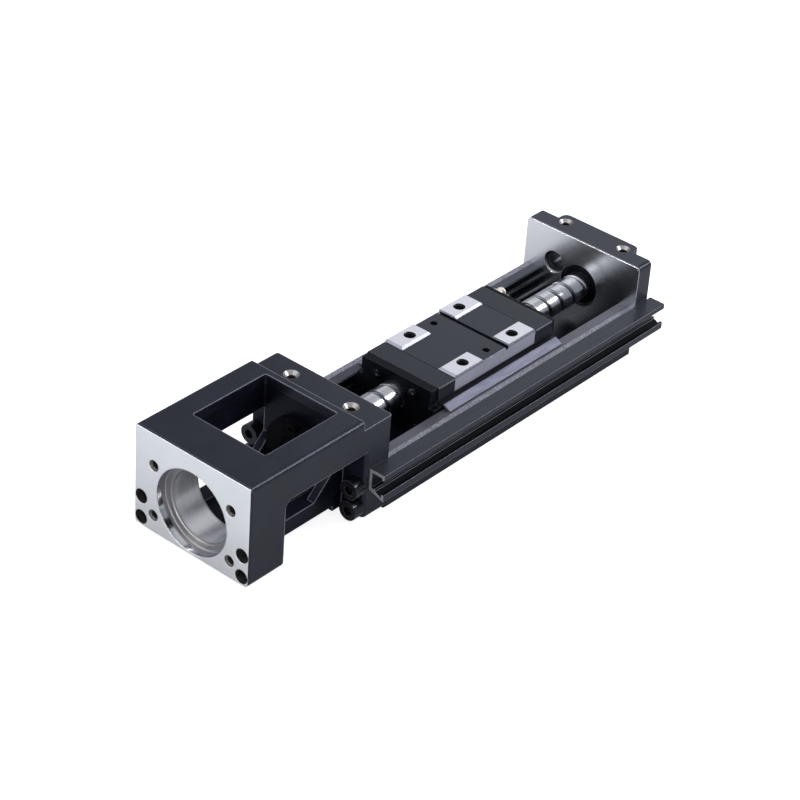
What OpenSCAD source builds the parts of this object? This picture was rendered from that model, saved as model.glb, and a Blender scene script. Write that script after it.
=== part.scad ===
// Ball screw linear module: a U-section steel rail, a carriage that is its own ball nut,
// a ground ball screw, a motor housing, an end plate and a C-section sensor rail.
// Millimetres. X runs across (sensor rail at +X), Y along the screw from the motor face, Z up.
// The origin is on the screw's axis, in the plane of the motor face.

/* [Rail] */
// Length of the steel rail
rail_len = 158; // [140:1:260]
// Width of the rail, the motor housing and the end plate
body_w = 60; // [58:1:76]
// Height of the rail
rail_h = 22.5; // [21.5:0.5:30]
// How far the screw's axis lies below the rail's top
axis_drop = 0; // [0:0.1:1]
// Thickness of the rail's side walls
wall_t = 9; // [8.5:0.25:10]
// Thickness of the rail's floor
floor_t = 8; // [6.5:0.5:9]
// Width of the ground band on top of each rail wall
band_w = 4.2; // [3:0.1:5]
// Chamfer on the rail's top outer edges
rail_top_ch = 2; // [1:0.25:2.5]
// Chamfer on the rail's bottom outer edges
rail_base_ch = 1.5; // [0.5:0.25:3]
// Spacing of the rail's mounting holes across
mount_x = 30; // [26:1:32]
// Spacing of the rail's mounting holes along
mount_y = 100; // [60:1:110]
// Diameter of the rail's mounting holes
mount_d = 5.5; // [4.5:0.1:6.6]
// Diameter of their counterbores
mount_head_d = 9.5; // [8:0.1:10]
// Depth of their counterbores
mount_head_t = 5.3; // [3:0.1:5.8]

/* [Ball screw] */
// Outside diameter of the screw
screw_d = 12; // [10:0.5:14.5]
// Travel per turn
lead = 8; // [5:0.5:12]
// Diameter of the balls in the nut
nut_ball_d = 2; // [1.6:0.1:2.4]
// Diameter of the two bearing journals
journal_d = 8; // [7:0.5:8.5]
// Diameter of the free shaft end for the coupling
shaft_d = 6; // [5:0.5:6.5]
// Length of the free shaft end
shaft_len = 16; // [10:1:22]
// Where the first groove crosses the top of the screw, from the rail's front end
groove_at = 1.65; // [1.5:0.05:8]

/* [Motor housing] */
// Length of the motor housing
housing_len = 78; // [70:1:96]
// Height of the motor flange
flange_h = 46; // [44:0.5:52]
// Distance of the flange's lower edge above the rail's underside
flange_up = 3; // [0:0.5:4]
// Thickness of the motor flange
flange_t = 19; // [12:0.5:24]
// Diameter of the motor pilot recess
pilot_d = 36.5; // [34:0.5:40]
// Depth of the motor pilot recess
pilot_t = 5; // [2:0.5:8]
// Diameter of the coupling bore
coupling_d = 30; // [26:0.5:32]
// Pitch circle of the motor screws
motor_pcd = 46; // [45:0.5:48]
// Angle of the motor screws above the horizontal
motor_angle = 30; // [28:1:36]
// Width of the bearing block and of the window
block_w = 37.4; // [36:0.2:38]
// Length of the bearing block
block_len = 19; // [17:0.5:24]
// Height of the side beams
beam_h = 15.4; // [12:0.2:17]
// Drop of the housing's rear top
rear_step = 4; // [2:0.25:6]
// Length of the housing's rear top
rear_top_len = 16; // [14:0.5:18]
// Thickness of the two ears
ear_t = 14; // [10:0.5:16]
// Inset of the ear screws from the sides
ear_screw_in = 3.7; // [3.4:0.1:4.6]
// Height of the lower ear screws above the flange's lower edge
ear_screw_z = 4.1; // [3.6:0.1:5]
// Spacing of the two screws in one ear
ear_screw_pitch = 9.7; // [9:0.1:11]
// Diameter of the key holes in the flange
key_hole_d = 6.2; // [5:0.1:6.6]
// Spacing of the cover screw holes on the housing
cover_hole_x = 31.1; // [26:0.1:34]

/* [Bearings] */
// Outside diameter of the bearings
brg_d = 19; // [18:0.5:22]
// Width of one bearing
brg_w = 6; // [5:0.5:6.5]
// Diameter of the bearing balls
brg_ball_d = 2.6; // [2:0.1:2.8]

/* [End plate] */
// Thickness of the end plate
plate_t = 8.5; // [7.5:0.5:12]
// Height of the end plate
plate_h = 40.1; // [36:0.1:44]
// Distance of the end plate's lower edge above the rail's underside
plate_up = 4; // [0:0.5:5]
// Width of the boss behind the end plate
boss_w = 40; // [36:1:42]
// Length of the boss behind the end plate
boss_len = 5.1; // [4.5:0.1:8]
// Spacing of the cover screw holes on the end plate
end_hole_x = 30.8; // [26:0.1:32]
// Diameter of the grease access hole
access_d = 9; // [7:0.5:10]

/* [Carriage] */
// Distance from the housing to the front seal at rest
carriage_at = 38; // [10:1:60]
// Length of the steel carriage block
carriage_len = 51.2; // [48:0.1:66]
// Length of the front end cap
front_cap_len = 10.4; // [8:0.1:12]
// Length of the rear end cap
rear_cap_len = 11; // [8:0.1:12]
// Thickness of the front end seal
seal_t = 4; // [2.5:0.5:5]
// Thickness of the rear end seal
rear_seal_t = 2.2; // [2:0.2:5]
// Rise of the carriage's black top above the rail's top
carriage_rise = 9.5; // [9:0.1:13]
// Height of the four ground pads
pad_h = 1; // [0.5:0.1:1.5]
// Length of each ground pad at its foot
pad_len = 18; // [14:0.2:20]
// Spacing of the carriage's tapped holes across
bolt_x = 28; // [26:0.5:29]
// Spacing of the carriage's tapped holes along
bolt_y = 31.5; // [28:0.5:34]
// Distance of the front tapped holes from the front of the block
bolt_y0 = 9.8; // [8:0.1:11]
// Diameter of the rail balls
rail_ball_d = 3.175; // [2.5:0.025:3.5]
// Depth of the upper ball row below the rail's top
row_depth = 4; // [3.8:0.1:5]
// Spacing of the upper and lower ball rows
row_pitch = 6; // [5.5:0.1:6.5]
// Distance of the grease nipple from the centre line
nipple_x = 14; // [12.5:0.25:14.5]
// Height of the grease nipple above the rail's top
nipple_z = 5.5; // [4.5:0.1:6]

/* [Sensor rail] */
// Width of the sensor rail
sensor_w = 7.5; // [6:0.5:10]
// Sheet thickness of the sensor rail
sensor_t = 1.3; // [1:0.1:1.6]
// How far the sensor rail covers the housing's ear
sensor_front = 11.5; // [6:0.5:13.5]
// How far the sensor rail passes the end plate
sensor_rear = 2.5; // [0:0.5:6]
// Rise of the sensor rail above the rail's top
sensor_rise = 2.8; // [1:0.1:4]

/* [Hidden] */
$fn = 64;

// Clearances
eps = 0.01;
fit_gap = 0.02;       // bearing in its seat, radial
thread_gap = 0.05;    // screw in its tapped hole, radial
brg_gap = 0.1;        // ball in a bearing race, radial
race_gap = 0.11;      // rail ball in its race, radial
groove_gap = 0.15;    // nut ball in the screw's groove, radial
wall_gap = 0.6;       // carriage block to rail wall
floor_gap = 1.5;      // carriage block to rail floor
bore_gap = 0.3;       // carriage bore to screw
lip_gap = 0.35;       // side seal's lip to rail
screw_gap = 0.25;      // M4 and M5 screws in their clearance holes, radial
cover_screw_gap = 0.15; // M2.5 screws in the bearing cover, radial
cap_screw_gap = 0.1;   // M2 screws in the end caps and seals, radial
neck_gap = 0.1;        // end cap over the block's neck

// Heights, from the screw's axis
rail_top = axis_drop;
rail_base = rail_top - rail_h;
floor_z = rail_base + floor_t;
flange_z0 = rail_base + flange_up;
flange_z1 = flange_z0 + flange_h;
beam_z0 = flange_z1 - beam_h;
rear_z1 = flange_z1 - rear_step;
plate_z0 = rail_base + plate_up;
plate_z1 = plate_z0 + plate_h;

// Stations along the screw
block_y0 = housing_len - block_len;
ear_y0 = housing_len - ear_t;
rail_y0 = housing_len;
rail_y1 = rail_y0 + rail_len;
plate_y1 = rail_y1 + plate_t;
boss_y1 = plate_y1 + boss_len;

// Half widths
half_w = body_w / 2;
trough = half_w - wall_t;
band_drop = 0.3;        // rail's outer top below its ground band

// Motor housing
front_r = 3;
edge_r = 2;
face_r = 0.8;
corner_r = 1.2;
ear_r = 1.5;
rear_r = 2.4;
arch_r = 3.5;
web_gap = 2.3;
web_t = 7.1;
web_bore_gap = 0.3;
web_z0 = flange_z0 + web_gap;
gusset_w = 3.7;
gusset_len = 11;
gusset_rise = 10.6;
window_r = 1;
bore_bevel = 0.6;
m4_drill = 3.3;
m4_sink_d = 5;
m4_depth = 10;
cover_sink_d = 6.4;
cover_hole_depth = 9;
cover_hole_in = 7.6;

// Cap head screw sizes: shank, head, head height, socket across corners
M5 = [5, 8.5, 5, 4.6];
M4 = [4, 7, 4, 3.5];
M25 = [2.5, 4.5, 2.5, 2.3];
M2 = [2, 3.8, 1.2, 1.7];
ear_grip = 12;
ear_x = half_w - ear_screw_in;
ear_z = flange_z0 + ear_screw_z;
plate_grip = 10;
plate_screw_in = 4.2;
end_hole_in = 0.7;
plate_screw_x = half_w - plate_screw_in;
plate_screw_z = 5;
plate_screw_pitch = 9;
head_gap = 0.2;

// Fixed bearings, two side by side against a shoulder
shoulder_t = 3.4;
fixed_y1 = housing_len - shoulder_t;
fixed_y0 = fixed_y1 - 2 * brg_w;
shoulder_lip = 2;
ring_t = 1.75;
brg_pitch_r = (brg_d + journal_d) / 4;
brg_count = 9;
cover_t = 3;
cover_r = coupling_d / 2 - 0.2;
cover_bore_gap = 0.4;
cover_screw_r = 12.2;
cover_screw_count = 3;
cover_grip = 6;
nut_r = 6.6;
nut_len = fixed_y0 - block_y0 + cover_t - 0.6;
nut_slot_w = 2;
nut_slot_t = 1;

// Support bearing
support_in = 1.2;
support_y0 = rail_y1 + support_in;
support_y1 = support_y0 + brg_w;
seal_ring_r = brg_d / 2 - 0.7;
seal_ring_gap = 0.3;
seal_ring_in = 0.1;
seal_ring_t = 0.6;
clip_t = 0.8;
clip_r = journal_d / 2 + 1.6;
clip_depth = 0.5;
clip_gap = 0.04;
clip_open = 40;
clip_room = 1.2;
journal_over = 2.2;
recess_y1 = support_y1 + journal_over + 1.2;
recess_r = clip_r + clip_room;

// Screw
groove_r = nut_ball_d / 2 + groove_gap;
pcd_r = screw_d / 2 + 0.1;
shaft_y0 = block_y0 - cover_t - 2 - shaft_len;
journal_y0 = block_y0 - cover_t - 2;
thread_y0 = fixed_y1;
thread_y1 = support_y0;
groove_in = 2.2;
end_ch = 0.8;

// Carriage stations
seal_y0 = rail_y0 + carriage_at;
front_cap_y0 = seal_y0 + seal_t;
car_y0 = front_cap_y0 + front_cap_len;
car_y1 = car_y0 + carriage_len;
rear_cap_y1 = car_y1 + rear_cap_len;
seal_y1 = rear_cap_y1 + rear_seal_t;

// Carriage section
top_in = 2.3;
car_top = rail_top + carriage_rise;
car_half = trough - wall_gap;
top_half = trough - top_in;
skirt_z = rail_top + 3.3;
shoulder_z = rail_top + 1.2;
neck_in = 1.1;
car_base = floor_z + floor_gap;
car_ch = 0.4;
base_ch = 1.5;
cap_in = 0.2;
cap_wide = 0.3;
seam_w = 0.5;
seam_in = 0.4;
race_x = trough - wall_gap / 2;
race_r = rail_ball_d / 2 + race_gap;
row_z = [rail_top - row_depth, rail_top - row_depth - row_pitch];
return_in = 5.5;
return_x = race_x - return_in;
return_r = race_r + 0.05;
ball_step = rail_ball_d + 0.12;
lobe_r = race_r - 0.35;
pad_margin = 3.6;
pad_x0 = bolt_x / 2 - pad_margin;
pad_bevel = 1;
pad_end_bevel = 0.9;
slit_w = 2;
slit_t = 1.6;
slit_in = 0.8;
slit_y = car_y1 - pad_len + slit_in - slit_w;
m5_drill = 4.2;
m5_sink_d = 5.2;
m5_depth = 8;
pin_d = 3.3;
pin_depth = 4;
pin_x = 27.8;
pin_y = car_y0 + 25;
seal_gap = 0.25;
strip_in = 1.4;
strip_t = 0.4;
nipple_bolt_r = 2;
nipple_r = 3;
nipple_len = 6;
nipple_stub = 6;

// Balls of the nut: one helical row in a chamber at the middle of the block
nut_turns = 2.5;
nut_step = 22;
groove_y = rail_y0 + groove_at;
nut_first = round(((car_y0 + car_y1) / 2 - groove_y) / lead - nut_turns / 2);
nut_y0 = groove_y + nut_first * lead;
nut_y1 = nut_y0 + nut_turns * lead;
chamber_r = pcd_r + groove_r;

// End cap screws: front upper, rear upper, lower (distances from the axis)
front_upper = [9.6, 5.2];
rear_upper = [7.4, 7];
lower = [11.5, 10.8];
cap_grip = 5;

// Sensor rail
lip_t = 1.1;
lip_up = 3;
top_lip = 1;
sensor_h = 9.6;
sensor_fall = 2.5;
rib_w = 0.5;
pan_h = 1.3;
pan_in = 20;
pan_depth = 5;
pan_drop = 3;

// ---- Helpers ----

// A section drawn in X and Z, drawn out along Y
module along_y(y0, y1)
  translate([0, y1, 0])
    rotate([90, 0, 0])
      linear_extrude(y1 - y0)
        children();

// A profile drawn in Y and Z, drawn out along X
module across_x(x0, x1)
  translate([x0, 0, 0])
    rotate([90, 0, 90])
      linear_extrude(x1 - x0)
        children();

module rod_y(r, y0, y1, x = 0, z = 0)
  translate([x, y1, z])
    rotate([90, 0, 0])
      cylinder(r = r, h = y1 - y0);

module ring_y(r_in, r_out, y0, y1)
  difference() {
    rod_y(r_out, y0, y1);
    rod_y(r_in, y0 - 1, y1 + 1);
  }

// A cone along Y, widest at y0 when r0 > r1
module cone_y(r0, r1, y0, y1, x = 0, z = 0)
  translate([x, y1, z])
    rotate([90, 0, 0])
      cylinder(r1 = r1, r2 = r0, h = y1 - y0);

module both_sides() {
  children();
  mirror([1, 0, 0])
    children();
}

// A rectangle with its lower and upper corners rounded
module soft_rect(x0, x1, z0, z1, r_low, r_high) {
  translate([x0 + r_low, z0])
    square([x1 - x0 - 2 * r_low, r_low + eps]);
  translate([x0, z0 + r_low])
    square([x1 - x0, z1 - z0 - r_low - r_high]);
  translate([x0 + r_high, z1 - r_high - eps])
    square([x1 - x0 - 2 * r_high, r_high + eps]);
  for (x = [x0 + r_low, x1 - r_low])
    translate([x, z0 + r_low])
      circle(r_low);
  for (x = [x0 + r_high, x1 - r_high])
    translate([x, z1 - r_high])
      circle(r_high);
}

// A closed outline from its right half, top to bottom
function mirrored(p) = concat(p, [for (i = [len(p) - 1:-1:0]) [-p[i][0], p[i][1]]]);

// Socket head cap screw, head up, seat at z = 0; s = [shank, head, head height, socket]
module cap_screw(s, grip) {
  difference() {
    cylinder(d = s[1], h = s[2]);
    translate([0, 0, s[2] / 2])
      cylinder(d = s[3], h = s[2], $fn = 6);
  }
  translate([0, 0, -grip])
    cylinder(d = s[0], h = grip + eps);
}

// A tapped hole drilled down from z, with its countersink
module tapped_down(x, y, z, drill, sink_d, depth) {
  translate([x, y, z - depth])
    cylinder(d = drill, h = depth + 1);
  translate([x, y, z - (sink_d - drill) / 2])
    cylinder(d1 = drill, d2 = sink_d + 2 * eps, h = (sink_d - drill) / 2 + eps);
}

// ---- Rail ----

module rail_section()
  difference() {
    polygon(mirrored([
      [trough + band_w, rail_top],
      [trough + band_w, rail_top - band_drop],
      [half_w - rail_top_ch, rail_top - band_drop],
      [half_w, rail_top - band_drop - rail_top_ch],
      [half_w, rail_base + rail_base_ch],
      [half_w - rail_base_ch, rail_base]
    ]));
    polygon(mirrored([
      [trough, rail_top + 1],
      [trough, floor_z + base_ch],
      [trough - base_ch, floor_z]
    ]));
    for (s = [-1, 1], z = row_z)
      translate([s * race_x, z])
        circle(race_r);
  }

module rail()
  color("#2b2d33")
    difference() {
      along_y(rail_y0, rail_y1)
        rail_section();
      for (x = [-mount_x / 2, mount_x / 2], y = [-mount_y / 2, mount_y / 2])
        translate([x, (rail_y0 + rail_y1) / 2 + y, rail_base]) {
          translate([0, 0, -1])
            cylinder(d = mount_d, h = floor_t + 2);
          translate([0, 0, floor_t - mount_head_t])
            cylinder(d = mount_head_d, h = mount_head_t + 1);
        }
      for (s = [-1, 1], i = [0, 1]) {
        rod_y(M5[0] / 2 + thread_gap, rail_y0 - 1, rail_y0 + ear_grip + 1,
              s * ear_x, ear_z + i * ear_screw_pitch);
        rod_y(M4[0] / 2 + thread_gap, rail_y1 - plate_grip - 1, rail_y1 + 1,
              s * plate_screw_x, plate_z0 + plate_screw_z + i * plate_screw_pitch);
      }
      for (y = pan_ys)
        pan_hole(y);
    }

// ---- Sensor rail ----

pan_z = rail_top - pan_drop;
pan_ys = [rail_y0 + pan_in, (rail_y0 + rail_y1) / 2, rail_y1 - pan_in];

module pan_hole(y)
  translate([half_w - pan_depth, y, pan_z])
    rotate([0, 90, 0])
      cylinder(d = M25[0] + 2 * thread_gap, h = pan_depth + sensor_t + 1);

module sensor_section() {
  z1 = rail_top + sensor_rise;
  z0 = z1 - sensor_h;
  x1 = half_w + sensor_w;
  polygon([
    [half_w, z1],
    [x1, z1],
    [x1, z1 - sensor_t - top_lip],
    [x1 - lip_t, z1 - sensor_t - top_lip],
    [x1 - lip_t, z1 - sensor_t],
    [half_w + sensor_t, z1 - sensor_t],
    [half_w + sensor_t, z0 + sensor_t],
    [half_w + 2 * sensor_t, z0 + sensor_t - 0.4],
    [half_w + 2 * sensor_t, z0 + sensor_t - 0.4 + rib_w],
    [half_w + 2 * sensor_t + rib_w, z0 + sensor_t - 0.4 + rib_w],
    [half_w + 2 * sensor_t + rib_w, z0 + sensor_t - 0.7],
    [x1 - lip_t, z0 + sensor_t - sensor_fall],
    [x1 - lip_t, z0 - sensor_fall + lip_up],
    [x1, z0 - sensor_fall + lip_up],
    [x1, z0 - sensor_fall],
    [half_w, z0]
  ]);
}

module sensor_rail()
  color("#3a3c44")
    difference() {
      along_y(rail_y0 - sensor_front, plate_y1 + sensor_rear)
        sensor_section();
      for (y = pan_ys)
        pan_hole(y);
    }

module sensor_rail_screws()
  color("#8d9098")
    for (y = pan_ys)
      translate([half_w + sensor_t, y, pan_z])
        rotate([0, 90, 0])
          cap_screw([M25[0], M25[1], pan_h, M25[3]], sensor_t + pan_depth - 1);

// ---- Motor housing ----

// What rounding takes off a corner at the origin
module round_off(r)
  difference() {
    translate([-1, -1])
      square(r + 1);
    translate([r, r])
      circle(r);
  }

module side_outline() {
  translate([0, flange_z0 + rear_r])
    square([flange_t, flange_h - rear_r]);
  translate([0, flange_z0])
    square([flange_t - rear_r, rear_r + eps]);
  translate([flange_t - rear_r, flange_z0 + rear_r])
    circle(rear_r);
  translate([0, beam_z0])
    square([housing_len - rear_top_len, beam_h]);
  translate([0, beam_z0])
    square([housing_len, rear_z1 - beam_z0]);
  difference() {
    translate([flange_t - eps, beam_z0 - arch_r])
      square([arch_r + eps, arch_r + eps]);
    translate([flange_t + arch_r, beam_z0 - arch_r])
      circle(arch_r);
  }
}

module housing_shell()
  intersection() {
    along_y(0, housing_len)
      soft_rect(-half_w, half_w, flange_z0, flange_z1, front_r, edge_r);
    across_x(-half_w, half_w)
      difference() {
        side_outline();
        translate([0, flange_z1])
          mirror([0, 1])
            round_off(face_r);
        translate([0, flange_z0])
          round_off(face_r);
      }
    translate([0, 0, flange_z0 - 1])
      linear_extrude(flange_h + 2)
        soft_rect(-half_w, half_w, 0, housing_len, face_r, corner_r);
  }

// A mounting ear beside the bearing block, up to the side beam
module ear()
  translate([0, 0, flange_z0])
    linear_extrude(beam_z0 - flange_z0 + eps) {
      translate([block_w / 2 - eps, ear_y0 + ear_r])
        square([half_w - block_w / 2 + eps, ear_t - ear_r - corner_r]);
      translate([block_w / 2 - eps, ear_y0])
        square([half_w - block_w / 2 - ear_r + eps, ear_t]);
      translate([half_w - ear_r, ear_y0 + ear_r])
        circle(ear_r);
      translate([half_w - corner_r, housing_len - corner_r])
        circle(corner_r);
    }

module gusset()
  across_x(block_w / 2 - gusset_w, block_w / 2)
    polygon([
      [block_y0 - gusset_len, web_z0 + web_t - eps],
      [block_y0 + eps, web_z0 + web_t - eps],
      [block_y0 + eps, web_z0 + web_t + gusset_rise]
    ]);

// The opening between the side beams, down to the web
module window_cut()
  translate([0, 0, web_z0 + web_t])
    linear_extrude(flange_z1 - web_z0 - web_t + 1)
      soft_rect(-block_w / 2, block_w / 2, flange_t, block_y0, window_r, window_r);

module motor_housing()
  color("#24262c")
    difference() {
      union() {
        difference() {
          housing_shell();
          window_cut();
        }
        along_y(block_y0, housing_len)
          translate([-block_w / 2, flange_z0])
            square([block_w, rear_z1 - flange_z0]);
        both_sides()
          ear();
        translate([-block_w / 2, flange_t - eps, web_z0])
          cube([block_w, block_y0 - flange_t + 2 * eps, web_t]);
        both_sides()
          gusset();
      }
      rod_y(pilot_d / 2, -1, pilot_t);
      rod_y(coupling_d / 2, 0, flange_t + 1);
      rod_y(coupling_d / 2 + web_bore_gap, flange_t, block_y0);
      cone_y(coupling_d / 2 + bore_bevel, coupling_d / 2, pilot_t - eps, pilot_t + bore_bevel);
      rod_y(brg_d / 2 + fit_gap, block_y0 - 1, fixed_y1);
      rod_y(brg_d / 2 - shoulder_lip, fixed_y1 - 1, housing_len + 1);
      for (s = [-1, 1], t = [-1, 1]) {
        x = s * motor_pcd / 2 * cos(motor_angle);
        z = t * motor_pcd / 2 * sin(motor_angle);
        rod_y(m4_drill / 2, -1, m4_depth, x, z);
        cone_y(m4_sink_d / 2, m4_drill / 2, -eps, (m4_sink_d - m4_drill) / 2, x, z);
      }
      for (s = [-1, 1], i = [0, 1]) {
        z = ear_z + i * ear_screw_pitch;
        rod_y(key_hole_d / 2, -1, flange_t + 1, s * ear_x, z);
        rod_y(M5[0] / 2 + screw_gap, ear_y0 - 1, housing_len + 1, s * ear_x, z);
      }
      for (s = [-1, 1])
        tapped_down(s * cover_hole_x / 2, housing_len - cover_hole_in, rear_z1,
                    m4_drill, cover_sink_d, cover_hole_depth);
      for (a = [0:cover_screw_count - 1])
        rod_y(M25[0] / 2 + thread_gap, block_y0 - 1, block_y0 + cover_grip + 1,
              cover_screw_r * sin(a * 360 / cover_screw_count),
              cover_screw_r * cos(a * 360 / cover_screw_count));
    }

module housing_screws()
  color("#17181b")
    for (s = [-1, 1], i = [0, 1])
      translate([s * ear_x, ear_y0, ear_z + i * ear_screw_pitch])
        rotate([90, 0, 0])
          cap_screw(M5, ear_t + ear_grip);

// ---- Bearings ----

// Race between the rings: a torus on the bearing's pitch circle
module race(y)
  translate([0, y, 0])
    rotate([90, 0, 0])
      rotate_extrude()
        translate([brg_pitch_r, 0])
          circle(brg_ball_d / 2 + brg_gap);

module outer_ring(y)
  difference() {
    ring_y(brg_d / 2 - ring_t, brg_d / 2, y, y + brg_w);
    race(y + brg_w / 2);
  }

module inner_ring(y)
  difference() {
    ring_y(journal_d / 2 + fit_gap, journal_d / 2 + ring_t, y, y + brg_w);
    race(y + brg_w / 2);
  }

module ball_circle(y)
  for (i = [0:brg_count - 1])
    translate([0, y + brg_w / 2, 0])
      rotate([0, i * 360 / brg_count, 0])
        translate([brg_pitch_r, 0, 0])
          sphere(d = brg_ball_d);

module fixed_bearing_outer_rings()
  color("#c9ccd1")
    for (i = [0, 1])
      outer_ring(fixed_y0 + i * brg_w);

module fixed_bearing_balls()
  color("#e4e6ea")
    for (i = [0, 1])
      ball_circle(fixed_y0 + i * brg_w);

module fixed_bearing_inner_rings()
  color("#c9ccd1")
    for (i = [0, 1])
      inner_ring(fixed_y0 + i * brg_w);

module support_bearing_outer_ring()
  color("#c9ccd1")
    difference() {
      outer_ring(support_y0);
      rod_y(seal_ring_r, support_y0 - 1, support_y0 + seal_ring_in + seal_ring_t);
    }

// Rubber seal in the outer ring's front, clear of the inner ring
module support_bearing_seal()
  color("#202226")
    ring_y(journal_d / 2 + ring_t + seal_ring_gap, seal_ring_r,
           support_y0 + seal_ring_in, support_y0 + seal_ring_in + seal_ring_t);

module support_bearing_balls()
  color("#e4e6ea")
    ball_circle(support_y0);

module support_bearing_inner_ring()
  color("#c9ccd1")
    inner_ring(support_y0);

// Cover that holds the outer rings: a flange on the block and a spigot in the bore
module bearing_cover()
  color("#2a2c31")
    difference() {
      union() {
        rod_y(cover_r, block_y0 - cover_t, block_y0);
        rod_y(brg_d / 2 - fit_gap, block_y0 - eps, fixed_y0);
      }
      rod_y(nut_r + cover_bore_gap, block_y0 - cover_t - 1, fixed_y0 + 1);
      for (a = [0:cover_screw_count - 1])
        rod_y(M25[0] / 2 + cover_screw_gap, block_y0 - cover_t - 1, block_y0 + 1,
              cover_screw_r * sin(a * 360 / cover_screw_count),
              cover_screw_r * cos(a * 360 / cover_screw_count));
    }

module bearing_cover_screws()
  color("#17181b")
    for (a = [0:cover_screw_count - 1])
      translate([cover_screw_r * sin(a * 360 / cover_screw_count), block_y0 - cover_t,
                 cover_screw_r * cos(a * 360 / cover_screw_count)])
        rotate([90, 0, 0])
          cap_screw(M25, cover_t + cover_grip);

module lock_nut()
  color("#2a2c31")
    difference() {
      ring_y(journal_d / 2 + fit_gap, nut_r, fixed_y0 - nut_len, fixed_y0);
      for (a = [0:90:270])
        rotate([0, a, 0])
          translate([nut_r - nut_slot_t, fixed_y0 - nut_len - 1, -nut_slot_w / 2])
            cube([nut_slot_t + 1, nut_len / 2 + 1, nut_slot_w]);
    }

// A spring ring in the journal's groove, open over clip_open degrees
module retaining_ring()
  color("#5a5d63")
    difference() {
      ring_y(journal_d / 2 - clip_depth + clip_gap, clip_r, support_y1, support_y1 + clip_t);
      translate([0, support_y1 - 1, 0])
        rotate([-90, 0, 0])
          linear_extrude(clip_t + 2)
            polygon([[0, 0],
                     [2 * clip_r, 2 * clip_r * tan(clip_open / 2)],
                     [2 * clip_r, -2 * clip_r * tan(clip_open / 2)]]);
    }

// ---- End plate ----

plate_bevel = 0.4;

// The plate's side outline, with the bevel on the polished face's top edge
module plate_outline()
  polygon([
    [rail_y1, plate_z0],
    [rail_y1, plate_z1 - plate_bevel],
    [rail_y1 + plate_bevel, plate_z1],
    [plate_y1, plate_z1],
    [plate_y1, plate_z0]
  ]);

module end_plate() {
  boss_r = 3;
  boss_base = brg_d / 2 + 3.5;
  plate_r = 2;
  end_sink_d = 6;
  color("#26282e")
    difference() {
      union() {
        intersection() {
          along_y(rail_y1, plate_y1)
            soft_rect(-half_w, half_w, plate_z0, plate_z1, plate_r, plate_r);
          across_x(-half_w, half_w)
            plate_outline();
        }
        translate([0, 0, -boss_base])
          linear_extrude(plate_z1 + boss_base) {
            translate([-boss_w / 2, plate_y1 - 1])
              square([boss_w, boss_len + 1 - boss_r]);
            translate([-boss_w / 2 + boss_r, plate_y1])
              square([boss_w - 2 * boss_r, boss_len]);
            for (x = [-boss_w / 2 + boss_r, boss_w / 2 - boss_r])
              translate([x, boss_y1 - boss_r])
                circle(boss_r);
          }
      }
      rod_y(brg_d / 2 + fit_gap, rail_y1 - 1, support_y1);
      rod_y(recess_r, support_y1 - 1, recess_y1);
      rod_y(access_d / 2, rail_y1 - 1, boss_y1 + 1, -nipple_x, rail_top + nipple_z);
      cone_y(access_d / 2 + bore_bevel, access_d / 2, rail_y1 - eps, rail_y1 + bore_bevel,
             -nipple_x, rail_top + nipple_z);
      for (s = [-1, 1]) {
        tapped_down(s * end_hole_x / 2, plate_y1 - end_hole_in, plate_z1,
                    m4_drill, end_sink_d, cover_hole_depth);
        for (i = [0, 1]) {
          z = plate_z0 + plate_screw_z + i * plate_screw_pitch;
          rod_y(M4[0] / 2 + screw_gap, rail_y1 - 1, plate_y1 + 1, s * plate_screw_x, z);
          rod_y(M4[1] / 2 + head_gap, plate_y1 - M4[2] - head_gap, plate_y1 + 1, s * plate_screw_x, z);
        }
      }
    }
}

module end_plate_screws()
  color("#17181b")
    for (s = [-1, 1], i = [0, 1])
      translate([s * plate_screw_x, plate_y1 - M4[2] - head_gap,
                 plate_z0 + plate_screw_z + i * plate_screw_pitch])
        rotate([-90, 0, 0])
          cap_screw(M4, plate_t - M4[2] - head_gap + plate_grip);

// ---- Ball screw ----

// Steps round one turn, and points across the groove's arc from edge to edge
turn_n = 24;
arc_n = 4;
arc_end = acos((pcd_r - screw_d / 2) / groove_r);

// The thread runs on a helicoidal grid: every step round the screw carries one groove
// section, and the land spans from it to the section one turn on. The groove's depth
// fades to nothing over the first and the last half turn.
first_step = ceil((thread_y0 + groove_in - groove_y) / lead * turn_n);
last_step = floor((thread_y1 - groove_in - 1 - groove_y) / lead * turn_n);
step_n = last_step - first_step;

function fade(i) = min(1, 2 * i / turn_n, 2 * (step_n - i) / turn_n);
function step_angle(i) = (first_step + i) * 360 / turn_n;
function step_y(i) = groove_y + (first_step + i) * lead / turn_n;
function on_screw(r, angle, y) = [r * sin(angle), y, r * cos(angle)];
function arc_angle(j) = -arc_end + 2 * arc_end * j / arc_n;
function groove_pt(i, j) = on_screw(
  screw_d / 2 - fade(i) * (screw_d / 2 - pcd_r + groove_r * cos(arc_angle(j))),
  step_angle(i),
  step_y(i) + groove_r * sin(arc_angle(j)));

// Point numbers: the grid first, then the front circle, then the rear circle
function g(i, j) = i * (arc_n + 1) + j;
grid_n = (step_n + 1) * (arc_n + 1);
function front_pt(k) = grid_n + k % turn_n;
function rear_pt(k) = grid_n + turn_n + k % turn_n;
function fan(hub, rim) = [for (k = [0:len(rim) - 2]) [hub, rim[k], rim[k + 1]]];

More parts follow.
